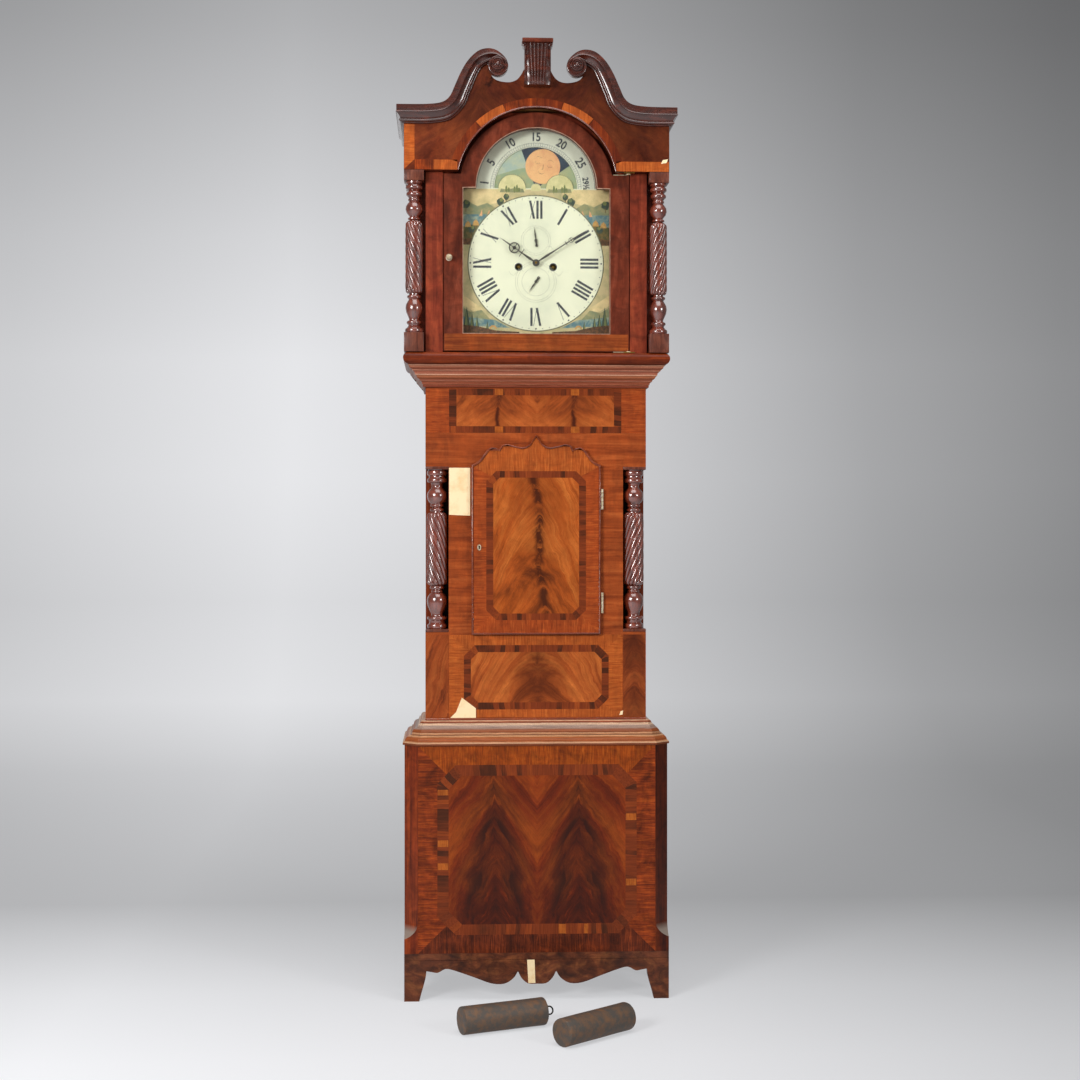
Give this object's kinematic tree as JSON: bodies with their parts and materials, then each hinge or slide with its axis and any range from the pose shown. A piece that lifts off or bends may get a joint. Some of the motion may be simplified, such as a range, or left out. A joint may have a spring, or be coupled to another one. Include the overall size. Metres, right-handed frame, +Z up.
{
  "type": "longcase clock",
  "caption": "Longcase clock with sliding hood, arched moon dial, two opening doors, geared striking movement, pendulum and two loose cylindrical weights.",
  "frame": {"origin": "centre of the floor area that the clock and its two loose weights cover, at floor level", "axes": "+Z up the clock, -Y out of the dial towards the viewer, +X to the viewer's right"},
  "size_m": [0.676, 0.6858, 2.3003],
  "materials": {
    "case_mahogany": "french polished",
    "flame_mahogany": "french polished figured veneer",
    "dark_moulding": "polished",
    "turned_dark_wood": "polished",
    "plain_pine": "bare and darkened",
    "brass": "aged",
    "steel": "dull",
    "painted_dial": "satin",
    "window_glass": "clear",
    "cast_iron": "rusty"
  },
  "bodies": {
    "case": {"plinth_front": "case_mahogany", "plinth_sides": "case_mahogany", "base_front_panel": "flame_mahogany", "base_sides": "case_mahogany", "base_corner_posts": "case_mahogany", "base_frames": "plain_pine", "base_moulding": "dark_moulding", "backboard": "plain_pine", "trunk_front_frame": "flame_mahogany", "trunk_sides": "case_mahogany", "trunk_recesses": "dark_moulding", "trunk_columns": "turned_dark_wood", "throat_moulding": "dark_moulding", "seatboard": "plain_pine", "trunk_hinge_leaves": "brass", "dial_plate": "painted_dial", "movement_plates": "brass", "pillars_and_feet": "brass", "back_cock": "brass", "bell": "brass", "bell_stand": "steel"},
    "trunk_door": {"trunk_door": "flame_mahogany", "trunk_door_moulding": "dark_moulding", "keyhole_plate": "brass", "door_lock": "steel", "trunk_door_leaves": "brass"},
    "hood": {"hood_base_rail": "dark_moulding", "hood_frame": "case_mahogany", "hood_sides": "case_mahogany", "hood_columns": "turned_dark_wood", "hood_fascia": "flame_mahogany", "swan_neck_mouldings": "dark_moulding", "scroll_centres": "turned_dark_wood", "finial_block": "turned_dark_wood", "hood_roof": "plain_pine", "hood_door_pivots": "brass"},
    "hood_door": {"hood_door_frame": "case_mahogany", "hood_door_glass": "window_glass", "hood_door_brasses": "brass"},
    "moon": {"moon_disc": "painted_dial"},
    "going_great": {"going_great_wheel": "brass"},
    "centre": {"centre_wheel": "brass", "minute_hand": "steel"},
    "third": {"third_wheel": "brass"},
    "escape": {"escape_wheel": "brass", "seconds_hand": "steel"},
    "minute": {"minute_wheel": "brass"},
    "hour": {"hour_wheel": "brass", "hour_hand": "steel"},
    "calendar": {"calendar_hand": "steel"},
    "anchor": {"anchor": "steel"},
    "pendulum": {"pendulum": "brass"},
    "strike_great": {"strike_great_wheel": "brass"},
    "pins": {"pin_wheel": "brass"},
    "gathering": {"gathering_wheel": "brass"},
    "warning": {"warning_wheel": "brass"},
    "fly": {"fly": "brass"},
    "hammer": {"hammer": "steel"},
    "weight_left": {"weight_left": "cast_iron"},
    "weight_right": {"weight_right": "cast_iron"}
  },
  "joints": [
    {"name": "trunk_door_hinge", "type": "hinge", "parent": "case", "child": "trunk_door", "pos_m": [0.1608, 0.12143, 1.08], "axis": [0, 0, 1], "range_deg": [0, 105]},
    {"name": "hood_slide", "type": "slide", "parent": "case", "child": "hood", "axis": [0, -1, 0], "range_m": [0, 0.3]},
    {"name": "hood_door_hinge", "type": "hinge", "parent": "hood", "child": "hood_door", "pos_m": [0.222, 0.09493, 1.76], "axis": [0, 0, 1], "range_deg": [0, 100]},
    {"name": "moon_turn", "type": "hinge", "parent": "case", "child": "moon", "pos_m": [0, 0.18143, 1.9593], "axis": [0, 1, 0], "continuous": true},
    {"name": "centre_turn", "type": "hinge", "parent": "case", "child": "centre", "pos_m": [0, 0.18143, 1.7773], "axis": [0, 1, 0], "continuous": true},
    {"name": "hour_turn", "type": "hinge", "parent": "case", "child": "hour", "pos_m": [0, 0.18143, 1.7773], "axis": [0, 1, 0], "continuous": true},
    {"name": "minute_wheel_turn", "type": "hinge", "parent": "case", "child": "minute", "pos_m": [-0.0135, 0.18143, 1.80068], "axis": [0, 1, 0], "continuous": true},
    {"name": "going_great_turn", "type": "hinge", "parent": "case", "child": "going_great", "pos_m": [0.042, 0.18143, 1.7683], "axis": [0, 1, 0], "continuous": true},
    {"name": "third_turn", "type": "hinge", "parent": "case", "child": "third", "pos_m": [0.01007, 0.18143, 1.8062], "axis": [0, 1, 0], "continuous": true},
    {"name": "escape_turn", "type": "hinge", "parent": "case", "child": "escape", "pos_m": [0, 0.18143, 1.8327], "axis": [0, 1, 0], "continuous": true},
    {"name": "calendar_turn", "type": "hinge", "parent": "case", "child": "calendar", "pos_m": [0, 0.18143, 1.7323], "axis": [0, 1, 0], "continuous": true},
    {"name": "pendulum_swing", "type": "hinge", "parent": "case", "child": "pendulum", "pos_m": [0, 0.27243, 1.8603], "axis": [0, 1, 0], "range_deg": [-3.5, 3.5]},
    {"name": "anchor_rock", "type": "hinge", "parent": "case", "child": "anchor", "pos_m": [0, 0.18143, 1.8603], "axis": [0, 1, 0], "range_deg": [-3.5, 3.5]},
    {"name": "gathering_turn", "type": "hinge", "parent": "case", "child": "gathering", "pos_m": [-0.03571, 0.18143, 1.83172], "axis": [0, 1, 0], "continuous": true},
    {"name": "strike_great_turn", "type": "hinge", "parent": "case", "child": "strike_great", "pos_m": [-0.042, 0.18143, 1.7683], "axis": [0, 1, 0], "continuous": true},
    {"name": "pin_wheel_turn", "type": "hinge", "parent": "case", "child": "pins", "pos_m": [-0.04909, 0.18143, 1.80853], "axis": [0, 1, 0], "continuous": true},
    {"name": "warning_turn", "type": "hinge", "parent": "case", "child": "warning", "pos_m": [-0.0492, 0.18143, 1.8478], "axis": [0, 1, 0], "continuous": true},
    {"name": "fly_turn", "type": "hinge", "parent": "case", "child": "fly", "pos_m": [-0.03223, 0.18143, 1.8576], "axis": [0, 1, 0], "continuous": true},
    {"name": "hammer_lift", "type": "hinge", "parent": "case", "child": "hammer", "pos_m": [-0.072, 0.18143, 1.8353], "axis": [0, -1, 0], "range_deg": [0, 10]},
    {"name": "left_weight_lift", "type": "slide", "parent": "case", "child": "weight_left", "axis": [0, 0, 1], "range_m": [0, 0.3]},
    {"name": "right_weight_lift", "type": "slide", "parent": "case", "child": "weight_right", "axis": [0, 0, 1], "range_m": [0, 0.3]}
  ],
  "couplings": [
    {"joint": "hour_turn", "follows": "centre_turn", "ratio": 0.083333},
    {"joint": "minute_wheel_turn", "follows": "centre_turn", "ratio": -0.66667},
    {"joint": "going_great_turn", "follows": "centre_turn", "ratio": -0.083333},
    {"joint": "third_turn", "follows": "centre_turn", "ratio": -7.5},
    {"joint": "escape_turn", "follows": "centre_turn", "ratio": 60},
    {"joint": "anchor_rock", "follows": "pendulum_swing", "ratio": 1},
    {"joint": "pin_wheel_turn", "follows": "gathering_turn", "ratio": -0.125},
    {"joint": "strike_great_turn", "follows": "gathering_turn", "ratio": 0.012821},
    {"joint": "warning_turn", "follows": "gathering_turn", "ratio": -7},
    {"joint": "fly_turn", "follows": "gathering_turn", "ratio": 49}
  ]
}
